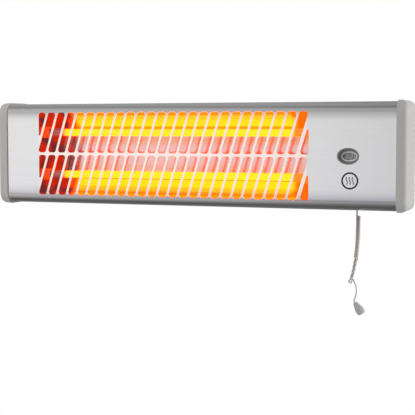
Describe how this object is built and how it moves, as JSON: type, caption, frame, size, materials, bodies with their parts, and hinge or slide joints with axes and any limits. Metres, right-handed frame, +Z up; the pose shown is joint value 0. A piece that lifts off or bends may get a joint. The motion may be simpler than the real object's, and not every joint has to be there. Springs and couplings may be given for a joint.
{
  "type": "quartz wall heater",
  "caption": "Long wall heater with a slanted slot grille over glowing quartz tubes, plastic end caps, oval switch window, pull cord and a tilting wall bracket.",
  "frame": {"origin": "centre of the wall face of the bracket strip, on the wall", "axes": "+X along the heater to the viewer's right, +Y into the wall so the front faces -Y, +Z up"},
  "size_m": [0.544, 0.0988, 0.2649],
  "materials": {
    "casing_steel": "brushed, satin",
    "cap_plastic": "fine grain",
    "plated_steel": "zinc plated",
    "bracket_paint": "satin grey",
    "polished_aluminium": "polished",
    "quartz": "clear, glowing",
    "resistance_wire": "glowing",
    "steatite": "unglazed",
    "bright_steel": "bright",
    "strip_brass": "bare",
    "black_plastic": "matt",
    "white_plastic": "smooth",
    "lead_red": "silicone",
    "lead_blue": "silicone",
    "bezel_plastic": "satin",
    "clear_lens": "clear",
    "rod_plastic": "smooth",
    "cord_fibre": "twisted fibre",
    "knob_plastic": "smooth"
  },
  "bodies": {
    "wall_bracket": {"wall_bracket": "bracket_paint", "pivot_bolts": "bright_steel", "pivot_nuts": "bright_steel", "pivot_washers": "black_plastic"},
    "heater_body": {"front_casing": "casing_steel", "back_plate": "plated_steel", "end_cap_left": "cap_plastic", "end_cap_right": "cap_plastic", "reflector": "polished_aluminium", "tube_carrier_left": "plated_steel", "tube_carrier_right": "plated_steel", "quartz_tube_upper": "quartz", "quartz_tube_lower": "quartz", "heating_coil_upper": "resistance_wire", "heating_coil_lower": "resistance_wire", "ceramic_upper_left": "steatite", "ceramic_upper_right": "steatite", "ceramic_lower_left": "steatite", "ceramic_lower_right": "steatite", "terminal_pins": "bright_steel", "neutral_strip": "strip_brass", "thermal_cutout": "black_plastic", "terminal_block": "white_plastic", "cable_gland": "black_plastic", "lead_live_upper": "lead_red", "lead_live_lower": "lead_red", "lead_cutout": "lead_red", "lead_feed": "lead_red", "lead_neutral": "lead_blue", "switch_housing": "black_plastic", "window_bezel": "bezel_plastic", "window_lens": "clear_lens", "cord_bush": "rod_plastic", "hinge_ear_left": "plated_steel", "hinge_ear_right": "plated_steel", "ear_rivets": "bright_steel", "cap_screws": "bright_steel", "carrier_screws": "bright_steel", "switch_screws": "bright_steel"},
    "indicator": {"indicator_drum": "white_plastic", "drum_shaft": "bright_steel"},
    "pull": {"pull_rod": "rod_plastic", "cord_lead": "cord_fibre"},
    "hanging_cord": {"cord_drop": "cord_fibre", "cord_hank": "cord_fibre", "cord_tail": "cord_fibre", "pull_knob": "knob_plastic"}
  },
  "joints": [
    {"name": "bracket_tilt", "type": "hinge", "parent": "wall_bracket", "child": "heater_body", "pos_m": [0, -0.027, 0], "axis": [1, 0, 0], "range_deg": [0, 30]},
    {"name": "drum_turn", "type": "hinge", "parent": "heater_body", "child": "indicator", "pos_m": [0.2016, -0.0758, 0], "axis": [1, 0, 0], "continuous": true},
    {"name": "cord_pull", "type": "slide", "parent": "heater_body", "child": "pull", "axis": [0, 0, -1], "range_m": [0, 0.012], "stiffness_N_per_m": 500, "springref_m": -0.01},
    {"name": "cord_hang", "type": "hinge", "parent": "pull", "child": "hanging_cord", "pos_m": [0.2035, -0.052, -0.0675], "axis": [1, 0, 0], "range_deg": [-35, 20]}
  ],
  "couplings": [
    {"joint": "cord_hang", "follows": "bracket_tilt", "ratio": -1}
  ]
}
